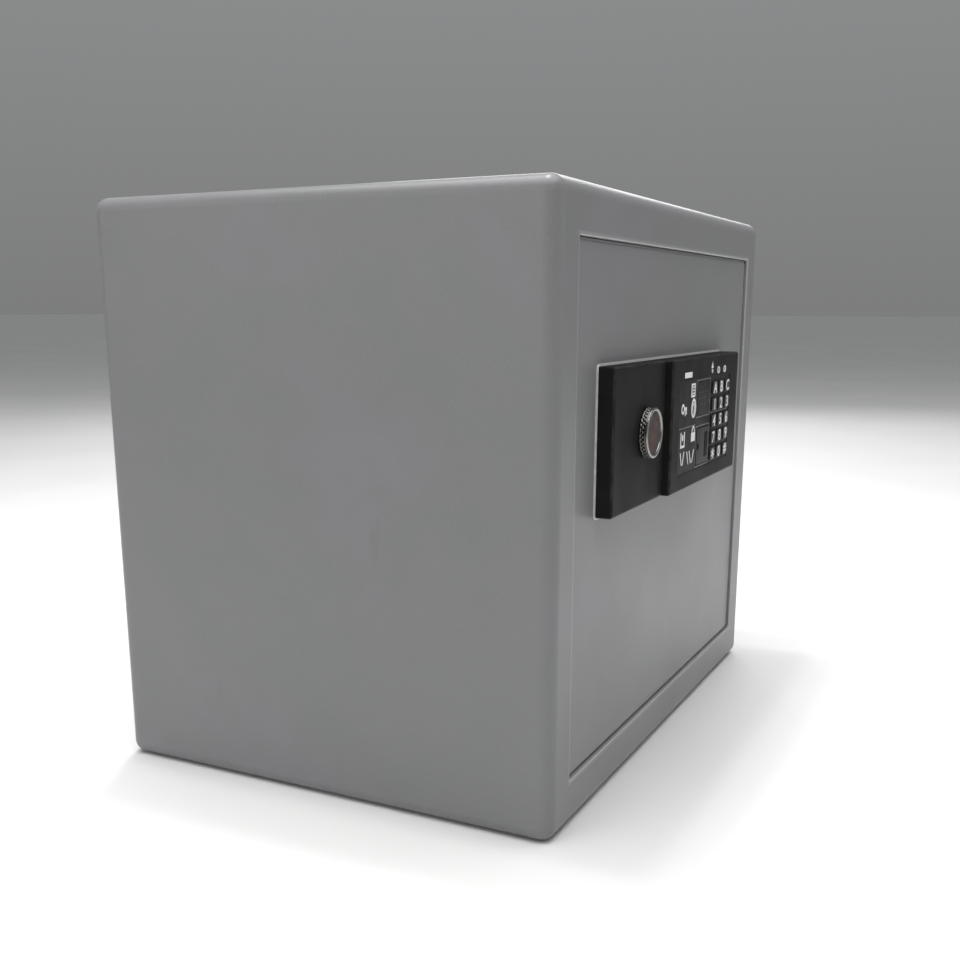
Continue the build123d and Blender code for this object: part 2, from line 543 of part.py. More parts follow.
# ---- Emergency lock ------------------------------------------------------------------------------
def lock_barrel():
    barrel = rod_y(LOCK_X, LOCK_Z, BARREL_R, Y_BARREL, Y_BARREL_END)
    barrel += rod_y(LOCK_X, LOCK_Z, BARREL_R + 2.0, Y_BASE, Y_BASE + 4.0)
    return barrel - rod_y(LOCK_X, LOCK_Z, PLUG_R + 0.05, Y_BARREL - 1, Y_BARREL_END + 1)


def lock_plug():
    plug = rod_y(LOCK_X, LOCK_Z, PLUG_R, Y_BARREL - 0.2, Y_BARREL_END + 0.5)
    return plug - block(LOCK_X - 0.6, LOCK_X + 0.6, Y_BARREL - 1, Y_BARREL + 16, LOCK_Z - 4.0, LOCK_Z + 4.0)


def lock_tail():
    y0 = Y_BARREL_END + 0.5
    tail = block(LOCK_X - 5, LOCK_X + 5, y0, y0 + SHEET_T, LOCK_Z - 24, LOCK_Z)
    return tail + rod_y(LOCK_X, LOCK_Z, 7.0, y0, y0 + SHEET_T)


def emergency_cover():
    x0, x1, z0, z1 = EMERGENCY
    f = 0.3
    y0 = Y_FASCIA - 0.3
    plate = rounded(x0 + f, x1 - f, y0, Y_FASCIA_BACK - 0.05, z0 + f, z1 - f, 1.0)
    plate = soften(plate, y0, 0.35)
    plate -= rod_y(x0 + 4.0, (z0 + z1) / 2, 2.4, y0 - 1, y0 + 0.5)
    for x in (x0 + 2.0, x1 - 2.0):
        z = (z0 + z1) / 2
        plate += block(x - 0.6, x + 0.6, Y_FASCIA_BACK - 0.2, Y_FASCIA_BACK + 2.6, z - 4, z + 4)
    return plate


# ---- Power and reset -----------------------------------------------------------------------------
def battery_holder():
    w, h, t = HOLDER_W / 2, HOLDER_H / 2, HOLDER_T
    tray = rounded(BAT_X - w, BAT_X + w, Y_HOLDER0, Y_HOLDER1, BAT_Z - h, BAT_Z + h, 2.0)
    tray -= block(BAT_X - w + t, BAT_X + w - t, Y_HOLDER0 + t, Y_HOLDER1 + 1, BAT_Z - h + t, BAT_Z + h - t)
    for k in (-1, 0, 1):
        z = BAT_Z + k * CELL_PITCH
        tray += block(BAT_X - 12, BAT_X + 12, Y_HOLDER0 + t - 0.2, Y_HOLDER0 + t + 2.2, z - 0.5, z + 0.5)
    foot = block(BAT_X - 12, BAT_X + 12, Y_BASE, Y_HOLDER0 + 0.2, BAT_Z - 20, BAT_Z + 20)
    return tray + foot


def battery(row):
    """One cell of a row of four, its button end alternating left and right."""
    z = BAT_Z + (row - 1.5) * CELL_PITCH
    y = Y_HOLDER0 + HOLDER_T + CELL_R + 0.1
    x0 = BAT_X - CELL_L / 2
    cell = rod_x(y, z, CELL_R, x0, x0 + CELL_L - 1.5)
    cell = fillet(cell.edges(), 0.6)
    cell += rod_x(y, z, 2.6, x0 + CELL_L - 2.0, x0 + CELL_L)
    if row % 2:
        cell = Pos(BAT_X, 0, 0) * mirror(Pos(-BAT_X, 0, 0) * cell, Plane.YZ)
    return cell


def battery_contacts():
    """A plate at each end of every cell, with a stud for the button end and a cone spring for the other."""
    made = []
    y = Y_HOLDER0 + HOLDER_T + CELL_R + 0.1
    reach = HOLDER_W / 2 - HOLDER_T
    plate_t = 0.5
    for row in range(4):
        z = BAT_Z + (row - 1.5) * CELL_PITCH
        button_side = -1 if row % 2 else 1
        for side in (-1, 1):
            x_wall, x_cell = BAT_X + side * reach, BAT_X + side * CELL_L / 2
            x_plate = x_wall - side * plate_t
            plate = block(*sorted((x_plate, x_wall)), y - 5, y + 5, z - 5, z + 5)
            spread = 2.4 if side == button_side else 3.6
            gap = abs(x_plate - x_cell)
            tip = Cone(spread, 2.0, gap) if side < 0 else Cone(2.0, spread, gap)
            made.append(plate + Pos((x_plate + x_cell) / 2, y, z) * Rot(0, 90, 0) * tip)
    return made


def battery_cover():
    w, h = HATCH_W / 2, HATCH_H / 2
    lid = rounded(BAT_X - w, BAT_X + w, Y_INNER + 0.1, Y_INNER + 2.3, BAT_Z - h, BAT_Z + h, 4.0)
    lid = soften(lid, Y_INNER + 2.3, 1.0)
    w_out, h_out, w_in, h_in = w - 4.4, h - 4.4, w - 6.4, h - 6.4
    y0, y1 = Y_COVER + 0.2, Y_INNER + 0.3
    rim = rounded(BAT_X - w_out, BAT_X + w_out, y0, y1, BAT_Z - h_out, BAT_Z + h_out, 2.2)
    lid += rim - block(BAT_X - w_in, BAT_X + w_in, y0 - 1, y1, BAT_Z - h_in, BAT_Z + h_in)
    for k in range(5):
        z = BAT_Z + h - 10 - 2.6 * k
        lid -= block(BAT_X - 12, BAT_X + 12, Y_INNER + 1.8, Y_INNER + 3, z - 0.6, z + 0.6)
    return lid


def reset_button():
    button = rod_y(RESET_X, RESET_Z, RESET_R, Y_COVER + 0.4, Y_INNER + 2.0)
    button = fillet(button.edges().sort_by(Axis.Y)[-1], 0.8)
    button += rod_y(RESET_X, RESET_Z, RESET_R + 1.5, Y_COVER - 1.6, Y_COVER - 0.2)
    return button + rod_y(RESET_X, RESET_Z, 2.0, Y_COVER - 8.0, Y_COVER + 1.0)


def reset_switch():
    """Switch on a post behind the reset button, its plunger just short of the button's stem."""
    y1 = Y_COVER - 12.0
    post = block(RESET_X - 5, RESET_X + 5, Y_BASE, y1 - 6, RESET_Z - 5, RESET_Z + 5)
    body = block(RESET_X - 6.5, RESET_X + 6.5, y1 - 6, y1, RESET_Z - 6.5, RESET_Z + 6.5)
    return post + body + rod_y(RESET_X, RESET_Z, 1.8, y1 - 0.5, y1 + 2.2)


def flat_cable():
    """Ribbon from the circuit board through the slot in the door, and down to the battery holder."""
    y_board, y_down = Y_BOARD + BOARD_T, Y_HOLDER0 + 9.0
    z_end = BAT_Z + HOLDER_H / 2
    corners = [(CABLE_X, y_board, CABLE_Z), (CABLE_X, y_down, CABLE_Z), (CABLE_X, y_down, z_end)]
    path = FilletPolyline(*corners, radius=CABLE_BEND)
    section = Plane(origin=corners[0], x_dir=(1, 0, 0), z_dir=(0, 1, 0)) * Rectangle(CABLE_W, CABLE_T)
    return sweep(section, path=path)


def save(name, *solids):
    shape = solids[0] if len(solids) == 1 else Compound(children=list(solids))
    export_step(shape, f"parts/{name}.step")


def main():
    os.makedirs("parts", exist_ok=True)
    single = [
        body_shell, door_frame, shelf, floor_mat, door_panel, lock_chassis, lock_cover, knob_housing,
        keypad_housing, case_gasket, keypad_fascia, display_window, keypad_membrane, circuit_board,
        knob_ring, knob_cap, knob_spindle, knob_cam, spindle_bush, bolt_carrier, solenoid_frame, solenoid_coil,
        solenoid_plunger, lock_barrel, lock_plug, lock_tail, emergency_cover, battery_holder, battery_cover,
        reset_button, reset_switch, display_module, flat_cable,
    ]
    for make in single:
        save(make.__name__, make())
    save("hinge_brackets", hinge_bracket(), mirror_z(hinge_bracket()))
    save("hinge_pins", hinge_pin(), mirror_z(hinge_pin()))
    save("hinge_blocks", hinge_block(), mirror_z(hinge_block()))
    save("shelf_pegs", *shelf_pegs())
    save("cover_screws", *cover_screws())
    save("case_screws", *case_screws())
    save("indicator_lights", *[indicator_light(x, z) for x, z in LIGHTS])
    save("locking_bolts", *[locking_bolt(z) for z in BOLT_ZS])
    save("bolt_nuts", *[bolt_nut(z) for z in BOLT_ZS])
    save("batteries", *[battery(row) for row in range(4)])
    save("battery_contacts", *battery_contacts())
    places = [(x, z) for z in KEY_ZS for x in KEY_XS]
    for number, (x, z) in enumerate(places, start=1):
        save(f"key_{number:02d}", key_cap(x, z))


main()
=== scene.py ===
import math

import bmesh
import bpy
from mathutils import Matrix, Vector, noise


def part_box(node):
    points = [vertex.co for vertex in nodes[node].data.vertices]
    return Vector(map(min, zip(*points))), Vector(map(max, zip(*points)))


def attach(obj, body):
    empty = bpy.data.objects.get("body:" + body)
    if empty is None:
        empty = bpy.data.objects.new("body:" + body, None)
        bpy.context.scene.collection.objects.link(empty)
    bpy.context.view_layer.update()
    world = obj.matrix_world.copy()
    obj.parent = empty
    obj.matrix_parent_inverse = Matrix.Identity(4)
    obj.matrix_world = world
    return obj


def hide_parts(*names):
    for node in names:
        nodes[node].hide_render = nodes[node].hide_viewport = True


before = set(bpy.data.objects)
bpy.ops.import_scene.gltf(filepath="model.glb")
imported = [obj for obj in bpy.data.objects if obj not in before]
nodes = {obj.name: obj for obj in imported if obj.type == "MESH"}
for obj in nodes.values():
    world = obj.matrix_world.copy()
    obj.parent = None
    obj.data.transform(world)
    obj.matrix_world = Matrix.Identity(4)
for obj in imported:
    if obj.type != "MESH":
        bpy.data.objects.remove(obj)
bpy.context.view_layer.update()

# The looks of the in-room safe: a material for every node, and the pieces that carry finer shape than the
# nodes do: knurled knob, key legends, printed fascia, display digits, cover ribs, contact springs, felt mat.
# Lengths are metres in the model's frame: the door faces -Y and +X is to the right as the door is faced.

MM = 0.001
KEYS = [f"key_{number:02d}" for number in range(1, 16)]
LEGENDS = "ABC123456789*0#"

LENS, SHIFT_Y = 41.9, 0.094
CAMERA_PLACE = (-0.7175, -0.3676, 0.2864)
CAMERA_DOWN, CAMERA_RIGHT = 13.214, 63.286     # degrees below level, and clockwise from +Y
SKY_LOW, SKY_HIGH = (0.6, 0.605, 0.61, 1), (0.82, 0.83, 0.84, 1)
SKY_RISE, SKY_STRENGTH = 0.35, 0.34            # upward part of the direction where the upper colour starts
FLOOR_SIZE, FLOOR_DROP = 80, 0.2 * MM

PRINT_THICKNESS = 0.08 * MM
RIB_THICKNESS = 0.25 * MM
LEGEND_SIZE, STAR_SIZE = 10.2 * MM, 14.0 * MM  # the font's star is small for its size
LEGEND_DEPTH, LEGEND_BOLD, LEGEND_STRETCH = 0.05 * MM, 0.2 * MM, 1.18


# ---- Camera and lights -----------------------------------------------------------------------------------

def make_camera():
    data = bpy.data.cameras.new("camera")
    data.sensor_width = 36.0
    data.lens = LENS
    data.shift_y = SHIFT_Y
    data.clip_start = 0.01
    camera = bpy.data.objects.new("camera", data)
    camera.location = CAMERA_PLACE
    camera.rotation_euler = (math.radians(90 - CAMERA_DOWN), 0, math.radians(-CAMERA_RIGHT))
    bpy.context.scene.collection.objects.link(camera)
    bpy.context.scene.camera = camera


def area_light(name, location, target, size, power):
    data = bpy.data.lights.new(name, "AREA")
    data.shape = "RECTANGLE"
    data.size, data.size_y = size
    data.energy = power
    light = bpy.data.objects.new(name, data)
    light.location = location
    light.rotation_euler = (Vector(target) - Vector(location)).to_track_quat("-Z", "Y").to_euler()
    light.visible_camera = False
    bpy.context.scene.collection.objects.link(light)


def make_lights():
    centre = (0, 0, 0.15)
    area_light("top_softbox", (-0.25, -0.1, 2.0), centre, (2.2, 2.2), 54)
    area_light("left_softbox", (-2.2, 1.2, 0.8), centre, (1.8, 1.2), 9.5)
    area_light("front_softbox", (1.1, -2.2, 0.8), centre, (1.8, 1.2), 4)
    area_light("right_softbox", (2.1, 0.7, 1.2), centre, (1.3, 1.1), 13)
    area_light("ceiling_spot_1", (0.12, 0.3, 2.1), centre, (0.1, 0.1), 7)
    area_light("ceiling_spot_2", (-0.14, 0.16, 2.1), centre, (0.1, 0.1), 7)


def make_sky():
    """A pale grey world that is a little lighter overhead."""
    world = bpy.data.worlds.new("studio")
    bpy.context.scene.world = world
    world.use_nodes = True
    tree = world.node_tree
    coords = tree.nodes.new("ShaderNodeTexCoord")
    split = tree.nodes.new("ShaderNodeSeparateXYZ")
    ramp = tree.nodes.new("ShaderNodeValToRGB")
    low, high = ramp.color_ramp.elements
    low.color, high.color = SKY_LOW, SKY_HIGH
    high.position = SKY_RISE
    tree.links.new(coords.outputs["Generated"], split.inputs[0])
    tree.links.new(split.outputs["Z"], ramp.inputs["Fac"])
    tree.links.new(ramp.outputs["Color"], tree.nodes["Background"].inputs["Color"])
    tree.nodes["Background"].inputs["Strength"].default_value = SKY_STRENGTH


# ---- Materials -------------------------------------------------------------------------------------------

class Finish:
    """A node material on one principled shader, built up one effect at a time."""

    def __init__(self, name, color, metallic=0.0, specular=0.5):
        self.material = bpy.data.materials.new(name)
        self.material.use_nodes = True
        self.tree = self.material.node_tree
        self.shader = self.tree.nodes["Principled BSDF"]
        self.coords = self.add("ShaderNodeTexCoord").outputs["Object"]
        self.color = (*color, 1)
        self.normal = None
        self.set("Metallic", metallic)
        self.set("Specular IOR Level", specular)

    def add(self, kind):
        return self.tree.nodes.new(kind)

    def link(self, output, socket):
        self.tree.links.new(output, socket)
        return self

    def set(self, socket, value):
        self.shader.inputs[socket].default_value = value
        return self

    def noise(self, scale, detail=2.0, stretch=(1, 1, 1), distortion=0.0):
        """Noise whose scale is features per metre, drawn out along an axis by a small stretch."""
        mapping = self.add("ShaderNodeMapping")
        mapping.inputs["Scale"].default_value = stretch
        self.link(self.coords, mapping.inputs["Vector"])
        texture = self.add("ShaderNodeTexNoise")
        texture.inputs["Scale"].default_value = scale
        texture.inputs["Detail"].default_value = detail
        texture.inputs["Distortion"].default_value = distortion
        self.link(mapping.outputs[0], texture.inputs["Vector"])
        return texture.outputs["Fac"]

    def cells(self, scale, feature="F1", randomness=1.0):
        """Distance from the middle or the edge of irregular cells, of which scale lie along a metre."""
        texture = self.add("ShaderNodeTexVoronoi")
        texture.feature = feature
        texture.inputs["Scale"].default_value = scale
        texture.inputs["Randomness"].default_value = randomness
        self.link(self.coords, texture.inputs["Vector"])
        return texture.outputs["Distance"]

    def waves(self, scale, axis, distortion=0.0):
        """Bands across an axis, pi / (10 * scale) metres apart, as the wave node counts them."""
        texture = self.add("ShaderNodeTexWave")
        texture.bands_direction = axis
        texture.inputs["Scale"].default_value = scale
        texture.inputs["Distortion"].default_value = distortion
        self.link(self.coords, texture.inputs["Vector"])
        return texture.outputs["Fac"]

    def remap(self, value, low, high, to_low=0.0, to_high=1.0):
        """A value's range from low to high stretched to another range, and held at its ends."""
        node = self.add("ShaderNodeMapRange")
        limits = {"From Min": low, "From Max": high, "To Min": to_low, "To Max": to_high}
        for socket, number in limits.items():
            node.inputs[socket].default_value = number
        self.link(value, node.inputs["Value"])
        return node.outputs["Result"]

    def axis(self, letter):
        """Place along X, Y or Z in metres."""
        node = self.add("ShaderNodeSeparateXYZ")
        self.link(self.coords, node.inputs[0])
        return node.outputs[letter]

    def blend(self, factor, color):
        """Moves the base colour towards another colour by a factor."""
        node = self.add("ShaderNodeMix")
        node.data_type = "RGBA"
        self.link(factor, node.inputs["Factor"])
        if isinstance(self.color, tuple):
            node.inputs["A"].default_value = self.color
        else:
            self.link(self.color, node.inputs["A"])
        node.inputs["B"].default_value = (*color, 1)
        self.color = node.outputs["Result"]
        return self

    def vary(self, color, scale, low, high, detail=3.0, stretch=(1, 1, 1)):
        """Blends another colour in where noise rises from low to high."""
        return self.blend(self.remap(self.noise(scale, detail, stretch), low, high), color)

    def rough(self, scale, low, high, detail=3.0, stretch=(1, 1, 1)):
        """Roughness that wanders between two values, as handling and dust leave it."""
        noise_low, noise_high = 0.3, 0.7
        value = self.remap(self.noise(scale, detail, stretch), noise_low, noise_high, low, high)
        return self.link(value, self.shader.inputs["Roughness"])

    def bump(self, height, strength, distance):
        """Adds relief; its distance is in metres."""
        node = self.add("ShaderNodeBump")
        node.inputs["Strength"].default_value = strength
        node.inputs["Distance"].default_value = distance
        self.link(height, node.inputs["Height"])
        if self.normal is not None:
            self.link(self.normal, node.inputs["Normal"])
        self.normal = node.outputs["Normal"]
        return self

    def math(self, operation, a, b=0.0):
        """One maths node; its operands are sockets or numbers."""
        node = self.add("ShaderNodeMath")
        node.operation = operation
        for socket, value in zip(node.inputs, (a, b)):
            if isinstance(value, (int, float)):
                socket.default_value = value
            else:
                self.link(value, socket)
        return node.outputs[0]

    def broken(self, mask):
        """A mask with gaps in it, as wear has; it also breaks up the painted highlight on the black
        plastic's rounded edges.
        """
        return self.math("MULTIPLY", mask, self.remap(self.noise(160, 4), 0.35, 0.6))

    def worn_edges(self, color, radius, strength):
        """Lightens sharp edges, where a bevelled normal leaves the true one."""
        bevel = self.add("ShaderNodeBevel")
        bevel.samples = 4
        bevel.inputs["Radius"].default_value = radius
        geometry = self.add("ShaderNodeNewGeometry")
        dot = self.add("ShaderNodeVectorMath")
        dot.operation = "DOT_PRODUCT"
        self.link(bevel.outputs["Normal"], dot.inputs[0])
        self.link(geometry.outputs["Normal"], dot.inputs[1])
        return self.blend(self.broken(self.remap(dot.outputs["Value"], 1.0, 0.86, 0.0, strength)), color)

    def rounds(self):
        """The mask for the painted edge highlights: 1 on a box-like part's rounded edges, where the surface
        faces along no axis, and 0 elsewhere.
        """
        node = self.add("ShaderNodeTexCoord")
        split = self.add("ShaderNodeSeparateXYZ")
        self.link(node.outputs["Normal"], split.inputs[0])
        sizes = [self.math("ABSOLUTE", split.outputs[letter]) for letter in "XYZ"]
        most = self.math("MAXIMUM", self.math("MAXIMUM", sizes[0], sizes[1]), sizes[2])
        return self.remap(most, 0.99, 0.85)

    def near_opening(self):
        """1 close round the door opening on the cabinet's front, and 0 elsewhere."""
        rim, skin = 2.6 * MM, 3 * MM
        panel_lo, panel_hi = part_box("door_panel")
        away_x = self.math("ABSOLUTE", self.axis("X"))
        away_z = self.math("ABSOLUTE", self.math("SUBTRACT", self.axis("Z"), (panel_lo.z + panel_hi.z) / 2))
        inside_x = self.math("LESS_THAN", away_x, panel_hi.x + rim)
        inside_z = self.math("LESS_THAN", away_z, (panel_hi.z - panel_lo.z) / 2 + rim)
        front = self.math("LESS_THAN", self.axis("Y"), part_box("body_shell")[0].y + skin)
        return self.math("MULTIPLY", self.math("MULTIPLY", inside_x, inside_z), front)

    def done(self):
        self.link(self.color, self.shader.inputs["Base Color"])
        if self.normal is not None:
            self.link(self.normal, self.shader.inputs["Normal"])
        return self.material


def powder_coat(name):
    """Colour of satin grey powder coat: two faint tints, fine specks and upright handling marks."""
    f = Finish(name, (0.2, 0.201, 0.203), specular=0.32)
    f.vary((0.21, 0.204, 0.218), 6, 0.42, 0.6)
    f.vary((0.19, 0.194, 0.192), 26, 0.45, 0.8, 4)
    f.vary((0.222, 0.223, 0.224), 900, 0.58, 0.74, 2)
    f.vary((0.17, 0.171, 0.172), 60, 0.68, 0.9, 6, (1, 1, 0.35))
    return f


def coat_finish(f):
    """Gloss and orange peel of the coat."""
    f.rough(11, 0.29, 0.37)
    f.bump(f.noise(420, 3), 0.10, 0.0003)
    f.bump(f.noise(2600, 2), 0.05, 0.0001)
    return f.done()


def body_coat():
    """The coat on the cabinet, lightened round the door opening as a painted highlight on the seam's edges.
    """
    f = powder_coat("powder_coat")
    rim = f.near_opening()
    # Painted highlight: the front is lightened close round the door opening, and more on the rounded rims
    # there.
    f.blend(f.math("MULTIPLY", rim, 0.4), (0.36, 0.36, 0.364))
    f.blend(f.math("MULTIPLY", f.math("MULTIPLY", f.rounds(), rim), 0.7), (0.44, 0.44, 0.445))
    return coat_finish(f)


def door_coat():
    """The coat on the door, lightened along its rounded front edges as a painted highlight."""
    f = powder_coat("door_coat")
    # Painted highlight on the door's rounded edges.
    f.blend(f.math("MULTIPLY", f.rounds(), 0.7), (0.42, 0.42, 0.425))
    return coat_finish(f)


def inner_coat():
    """The same coat inside, thinner and more matt, with steel showing at the sheared edges."""
    f = Finish("inner_coat", (0.19, 0.191, 0.194), specular=0.4)
    f.vary((0.172, 0.174, 0.178), 22, 0.4, 0.7, 4)
    f.worn_edges((0.42, 0.42, 0.43), 0.0005, 0.7)
    f.rough(30, 0.42, 0.58)
    f.bump(f.noise(520, 3), 0.12, 0.0003)
    return f.done()


def moulded_black(name, color, low, high):
    """Spark-textured black plastic, a little dusty and rubbed smooth in places, with a painted highlight on
    its rounded edges.
    """
    f = Finish(name, color, specular=0.05)
    f.vary(tuple(c * 1.3 + 0.002 for c in color), 38, 0.4, 0.75, 5)
    f.vary((0.06, 0.057, 0.053), 520, 0.66, 0.86, 4)
    f.worn_edges((0.075, 0.075, 0.076), 0.0006, 0.7)
    # Painted highlight: the rounded edges are lightened, broken up by noise.
    f.blend(f.broken(f.math("MULTIPLY", f.rounds(), 0.5)), (0.06, 0.06, 0.06))
    f.rough(24, low, high, 4)
    f.bump(f.noise(1500, 4), 0.16, 0.00012)
    return f.done()


def fascia_film():
    """Satin printed film with a fine regular grain and finger marks."""
    f = Finish("fascia_film", (0.016, 0.016, 0.0165), specular=0.05)
    f.vary((0.027, 0.0265, 0.026), 60, 0.45, 0.75, 5)
    f.vary((0.04, 0.039, 0.038), 14, 0.55, 0.8, 5, (1, 1, 0.4))
    f.rough(45, 0.34, 0.5, 4)
    f.bump(f.cells(2600), 0.07, 0.0001)
    return f.done()


def key_plastic():
    """Satin black key caps, rubbed glossier where they are pressed."""
    f = Finish("key_plastic", (0.014, 0.014, 0.0145), specular=0.25)
    f.vary((0.028, 0.027, 0.026), 130, 0.45, 0.7, 4)
    f.worn_edges((0.11, 0.11, 0.11), 0.0005, 0.6)
    f.rough(90, 0.26, 0.45, 3)
    f.bump(f.noise(2200, 3), 0.08, 0.0001)
    return f.done()


def dark_window():
    """Glossy smoked window with faint upright wipe marks."""
    f = Finish("dark_window", (0.005, 0.005, 0.006), specular=0.05)
    f.vary((0.02, 0.02, 0.021), 85, 0.5, 0.8, 4, (1, 1, 0.12))
    f.rough(60, 0.12, 0.3, 5, (1, 1, 0.25))
    f.bump(f.noise(300, 2, (1, 1, 0.3)), 0.03, 0.0001)
    return f.done()


def brushed_metal(name, color, low, high, stretch, tint):
    """Plated steel: fine drawn lines and cloudy plating."""
    f = Finish(name, color, metallic=1.0)
    f.vary(tint, 60, 0.4, 0.7, 4)
    f.rough(420, low, high, 4, stretch)
    f.bump(f.noise(1300, 3, stretch), 0.10, 0.00008)
    return f.done()


def chrome(name, color, low, high):
    """Plating with hairline scratches and a few dull spots."""
    f = Finish(name, color, metallic=1.0)
    f.vary(tuple(c * 0.72 for c in color), 210, 0.55, 0.8, 4)
    f.rough(330, low, high, 5)
    f.bump(f.noise(900, 4, (1, 0.15, 1)), 0.05, 0.00008)
    return f.done()


def knob_face():
    """Dull paint on the knob's face, grey with a mottled red cast."""
    f = Finish("knob_face", (0.048, 0.044, 0.043), specular=0.1)
    f.vary((0.085, 0.04, 0.038), 120, 0.46, 0.66, 3)
    f.vary((0.09, 0.085, 0.085), 420, 0.6, 0.78, 4)
    f.rough(150, 0.42, 0.62)
    f.bump(f.noise(1100, 3), 0.15, 0.0001)
    return f.done()


def ink(name, color, faded):
    """Printed ink, thin in places."""
    f = Finish(name, color)
    f.vary(faded, 900, 0.55, 0.75, 4)
    f.vary(faded, 180, 0.58, 0.85, 3)
    f.rough(300, 0.42, 0.6)
    return f.done()


def rubber(name, color, pale):
    """Matt rubber with paler, drier patches."""
    f = Finish(name, color)
    f.vary(pale, 180, 0.4, 0.7, 4)
    f.rough(120, 0.5, 0.72)
    f.bump(f.noise(1800, 3), 0.15, 0.0001)
    return f.done()


def felt():
    """Needled charcoal felt: matted fibres of several greys, with a soft sheen."""
    f = Finish("felt", (0.028, 0.028, 0.031), specular=0.15)
    f.vary((0.06, 0.06, 0.064), 700, 0.45, 0.62, 6)
    f.vary((0.1, 0.1, 0.102), 1500, 0.62, 0.72, 4, (1, 0.3, 1))
    f.vary((0.018, 0.018, 0.02), 24, 0.45, 0.7, 4)
    f.bump(f.noise(900, 6, (1, 0.45, 1), 1.5), 0.7, 0.0006)
    f.bump(f.noise(2600, 4, (0.4, 1, 1), 1.0), 0.5, 0.0003)
    f.set("Roughness", 0.95).set("Sheen Weight", 0.35).set("Sheen Roughness", 0.6)
    return f.done()


def cell_sleeve():
    """Battery sleeve: a dark body, a copper band round one end, and bare steel at both ends."""
    f = Finish("cell_sleeve", (0.018, 0.022, 0.03))
    x = f.axis("X")
    cells_lo, cells_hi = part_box("batteries")
    middle = (cells_lo.x + cells_hi.x) / 2
    band, sleeve_end = 9 * MM, 24.2 * MM
    f.blend(f.remap(x, middle + band, middle + band + 0.2 * MM), (0.42, 0.2, 0.075))
    for side in (1, -1):
        end = middle + side * sleeve_end
        f.blend(f.remap(x, end, end + side * 0.1 * MM), (0.5, 0.5, 0.5))
    f.vary((0.05, 0.05, 0.055), 300, 0.6, 0.8, 3)
    f.rough(120, 0.22, 0.38)
    f.bump(f.noise(260, 3, (0.3, 1, 1)), 0.08, 0.0002)
    f.set("Coat Weight", 0.3).set("Coat Roughness", 0.15)
    return f.done()


def circuit_green():
    """Solder mask over copper tracks, with bare pads between them."""
    f = Finish("circuit_green", (0.012, 0.075, 0.03))
    tracks = f.remap(f.cells(260, "DISTANCE_TO_EDGE", 0.25), 0.05, 0.09, 1.0, 0.0)
    f.blend(tracks, (0.03, 0.17, 0.06))
    f.blend(f.remap(f.cells(420), 0.14, 0.1), (0.5, 0.42, 0.25))
    f.rough(90, 0.22, 0.4)
    f.bump(tracks, 0.25, 0.0001)
    return f.done()


def coil_tape():
    """Amber tape wound round the coil."""
    f = Finish("coil_tape", (0.42, 0.22, 0.03))
    f.vary((0.3, 0.14, 0.02), 90, 0.4, 0.7, 4)
    f.bump(f.waves(160, "Z", 0.4), 0.3, 0.0002)
    f.rough(140, 0.2, 0.4)
    return f.done()


def ribbon_film():
    """Pale ribbon cable, with painted shade in the grooves between its wires."""
    f = Finish("ribbon_film", (0.42, 0.42, 0.42))
    # Painted shade: the colour is darkened in the grooves between the wires.
    f.blend(f.remap(f.waves(250, "X"), 0.2, 0.5, 0.6, 0.0), (0.2, 0.2, 0.2))
    f.bump(f.waves(250, "X"), 0.5, 0.0002)
    f.rough(120, 0.38, 0.55)
    return f.done()


def lens_plastic():
    """Frosted indicator lens, unlit."""
    f = Finish("lens_plastic", (0.5, 0.51, 0.5))
    f.vary((0.62, 0.62, 0.6), 500, 0.4, 0.7)
    f.rough(300, 0.18, 0.34)
    f.bump(f.noise(1500, 2), 0.08, 0.0001)
    f.set("Coat Weight", 0.5).set("Coat Roughness", 0.08)
    return f.done()


def button_red():
    """Red moulded plastic, darker where it is worn."""
    f = Finish("button_red", (0.42, 0.022, 0.016))
    f.vary((0.3, 0.014, 0.012), 200, 0.45, 0.7, 4)
    f.rough(160, 0.3, 0.46)
    f.bump(f.noise(1700, 3), 0.1, 0.0001)
    return f.done()


def floor_paint():
    """Plain pale studio floor, faintly uneven."""
    f = Finish("floor_paint", (0.8, 0.8, 0.79))
    f.vary((0.775, 0.775, 0.77), 2, 0.4, 0.6)
    f.rough(6, 0.55, 0.7)
    return f.done()


LENGTHWISE = (1, 1, 0.08)
inside_coat = inner_coat()
case_black = moulded_black("case_black", (0.0135, 0.0131, 0.0127), 0.42, 0.55)
holder_black = moulded_black("holder_black", (0.02, 0.02, 0.021), 0.42, 0.55)
film = fascia_film()
key_black = key_plastic()
window = dark_window()
zinc = brushed_metal("zinc_plate", (0.52, 0.53, 0.55), 0.28, 0.46, LENGTHWISE, (0.44, 0.46, 0.47))
turned = brushed_metal("turned_steel", (0.64, 0.645, 0.66), 0.16, 0.3, (1, 0.08, 1), (0.55, 0.555, 0.57))
screw_steel = brushed_metal("screw_steel", (0.4, 0.4, 0.41), 0.25, 0.45, (1, 1, 1), (0.3, 0.3, 0.3))
brass = brushed_metal("brass", (0.66, 0.47, 0.18), 0.2, 0.38, (1, 0.08, 1), (0.5, 0.34, 0.12))
bolt_chrome = chrome("bolt_chrome", (0.72, 0.72, 0.73), 0.1, 0.22)
knob_chrome = chrome("knob_chrome", (0.3, 0.298, 0.29), 0.14, 0.3)
# A darker copy of the knob's chrome for its knurled grip, as painted shade.
knurl_shaded_chrome = chrome("knurl_shaded_chrome", (0.12, 0.117, 0.11), 0.16, 0.34)
face_paint = knob_face()
white_ink = ink("white_ink", (0.78, 0.78, 0.77), (0.5, 0.5, 0.49))
